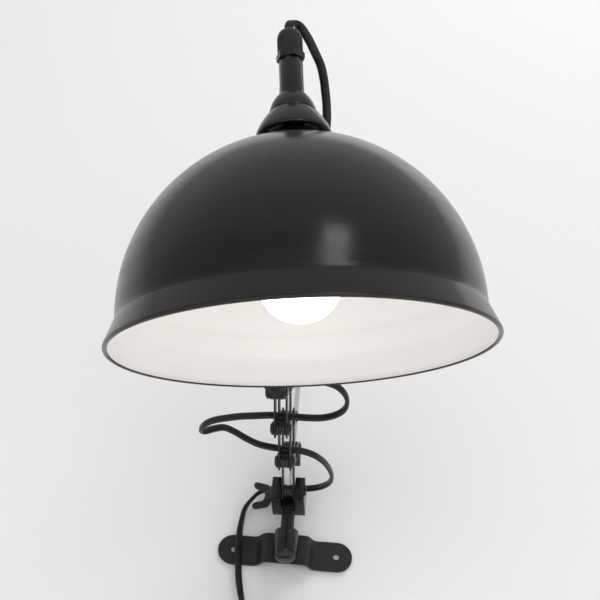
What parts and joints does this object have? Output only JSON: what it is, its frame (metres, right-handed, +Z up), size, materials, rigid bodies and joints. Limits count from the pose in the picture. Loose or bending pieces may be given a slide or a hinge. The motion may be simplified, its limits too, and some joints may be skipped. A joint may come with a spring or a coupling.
{
  "type": "wall mounted scissor arm reading lamp",
  "caption": "Wall reading lamp with a hat-strap bracket, a scissor extending arm, a swan neck and a tilting black dome shade on a flat flex with a plug.",
  "frame": {"origin": "middle of the bracket on the wall plane", "axes": "+Y into the wall, +Z up, +X to the right of someone facing the wall"},
  "size_m": [0.2666, 0.5018, 0.4074],
  "materials": {
    "black_enamel": "gloss black enamel",
    "black_steel": "semi-gloss black",
    "chrome": "bright chrome",
    "zinc": "zinc plated",
    "black_plastic": "satin moulded",
    "opal_glass": "opal white",
    "cord_pvc": "satin flat flex"
  },
  "bodies": {
    "wall_base": {"wall_bracket": "black_steel", "pivot_barrel": "black_enamel", "barrel_screw": "zinc", "pivot_sleeve": "black_plastic", "cord_drop": "cord_pvc", "cord_coil": "cord_pvc", "coil_tie": "black_plastic", "cord_tail": "cord_pvc", "plug_body": "black_plastic", "plug_pin_left": "zinc", "plug_pin_right": "zinc"},
    "swing_block": {"clamp_block": "black_enamel", "rear_post": "chrome", "post_cap": "black_plastic", "block_pivot_pin": "black_steel", "cord_arm": "cord_pvc"},
    "rear_wing": {"rear_wing_screw": "black_steel"},
    "inner_pair_1": {"inner_bar_1_left": "black_steel", "inner_bar_1_right": "black_steel", "middle_rivet_1": "black_steel", "upper_rivet_1": "black_steel"},
    "outer_pair_1": {"outer_bar_1_left": "black_steel", "outer_bar_1_right": "black_steel", "rear_slider_rivet": "black_steel", "lower_rivet_1": "black_steel"},
    "inner_pair_2": {"inner_bar_2_left": "black_steel", "inner_bar_2_right": "black_steel", "middle_rivet_2": "black_steel", "upper_rivet_2": "black_steel"},
    "outer_pair_2": {"outer_bar_2_left": "black_steel", "outer_bar_2_right": "black_steel", "lower_rivet_2": "black_steel"},
    "inner_pair_3": {"inner_bar_3_left": "black_steel", "inner_bar_3_right": "black_steel", "middle_rivet_3": "black_steel", "front_slider_rivet": "black_steel"},
    "outer_pair_3": {"outer_bar_3_left": "black_steel", "outer_bar_3_right": "black_steel", "front_block_rivet": "black_steel"},
    "rear_slide": {"rear_slider": "black_enamel"},
    "front_slide": {"front_slider": "black_enamel"},
    "head_carrier": {"front_block": "black_enamel", "front_set_screw": "zinc"},
    "neck": {"swan_neck": "black_enamel", "cord_head": "cord_pvc"},
    "head": {"stem_tube": "black_enamel", "neck_tube": "black_steel", "bell_cap": "black_enamel", "shade": "black_enamel", "lock_nut": "zinc", "lamp_holder": "black_plastic", "bulb_screw_cap": "zinc", "bulb": "opal_glass", "hex_fitting": "black_steel", "gland_nut": "black_plastic", "tilt_pin": "zinc"}
  },
  "joints": [
    {"name": "arm_swing", "type": "hinge", "parent": "wall_base", "child": "swing_block", "pos_m": [0, -0.025, 0.05], "axis": [0, 0, 1], "range_deg": [-40, 75], "deforming": ["cord_drop", "cord_arm"]},
    {"name": "rear_wing_turn", "type": "hinge", "parent": "swing_block", "child": "rear_wing", "pos_m": [0, -0.025, 0.049], "axis": [0.9954, -0.0958, 0], "range_deg": [-180, 180]},
    {"name": "arm_fold", "type": "hinge", "parent": "swing_block", "child": "inner_pair_1", "pos_m": [-0.00153, -0.04093, 0.047], "axis": [-0.9954, 0.0958, 0], "range_deg": [0, 35]},
    {"name": "cell_1_cross", "type": "hinge", "parent": "inner_pair_1", "child": "outer_pair_1", "pos_m": [-0.00431, -0.06979, 0.07133], "axis": [-0.9954, 0.0958, 0], "range_deg": [-70, 0]},
    {"name": "rear_slider_level", "type": "hinge", "parent": "outer_pair_1", "child": "rear_slide", "pos_m": [-0.00153, -0.04093, 0.09566], "axis": [-0.9954, 0.0958, 0], "range_deg": [0, 35]},
    {"name": "cell_1_to_2", "type": "hinge", "parent": "outer_pair_1", "child": "inner_pair_2", "pos_m": [-0.00709, -0.09865, 0.047], "axis": [-0.9954, 0.0958, 0], "range_deg": [0, 70]},
    {"name": "cell_2_cross", "type": "hinge", "parent": "inner_pair_2", "child": "outer_pair_2", "pos_m": [-0.00987, -0.12751, 0.07133], "axis": [-0.9954, 0.0958, 0], "range_deg": [-70, 0]},
    {"name": "cell_2_to_3", "type": "hinge", "parent": "outer_pair_2", "child": "inner_pair_3", "pos_m": [-0.01265, -0.15637, 0.047], "axis": [-0.9954, 0.0958, 0], "range_deg": [0, 70]},
    {"name": "cell_3_cross", "type": "hinge", "parent": "inner_pair_3", "child": "outer_pair_3", "pos_m": [-0.01543, -0.18523, 0.07133], "axis": [-0.9954, 0.0958, 0], "range_deg": [-70, 0]},
    {"name": "front_block_level", "type": "hinge", "parent": "outer_pair_3", "child": "head_carrier", "pos_m": [-0.01821, -0.21409, 0.047], "axis": [-0.9954, 0.0958, 0], "range_deg": [0, 35]},
    {"name": "front_slider_level", "type": "hinge", "parent": "inner_pair_3", "child": "front_slide", "pos_m": [-0.01821, -0.21409, 0.09566], "axis": [-0.9954, 0.0958, 0], "range_deg": [-35, 0]},
    {"name": "neck_swivel", "type": "hinge", "parent": "head_carrier", "child": "neck", "pos_m": [-0.01989, -0.23155, 0.05], "axis": [0, 0, 1], "range_deg": [-60, 60], "deforming": ["cord_head"]},
    {"name": "head_tilt", "type": "hinge", "parent": "neck", "child": "head", "pos_m": [-0.02453, -0.427, 0.17549], "axis": [-0.992, 0, -0.126], "range_deg": [0, 55]}
  ],
  "couplings": [
    {"joint": "cell_1_cross", "follows": "arm_fold", "ratio": -2},
    {"joint": "rear_slider_level", "follows": "arm_fold", "ratio": 1},
    {"joint": "cell_1_to_2", "follows": "arm_fold", "ratio": 2},
    {"joint": "cell_2_cross", "follows": "arm_fold", "ratio": -2},
    {"joint": "cell_2_to_3", "follows": "arm_fold", "ratio": 2},
    {"joint": "cell_3_cross", "follows": "arm_fold", "ratio": -2},
    {"joint": "front_block_level", "follows": "arm_fold", "ratio": 1},
    {"joint": "front_slider_level", "follows": "arm_fold", "ratio": -1}
  ]
}
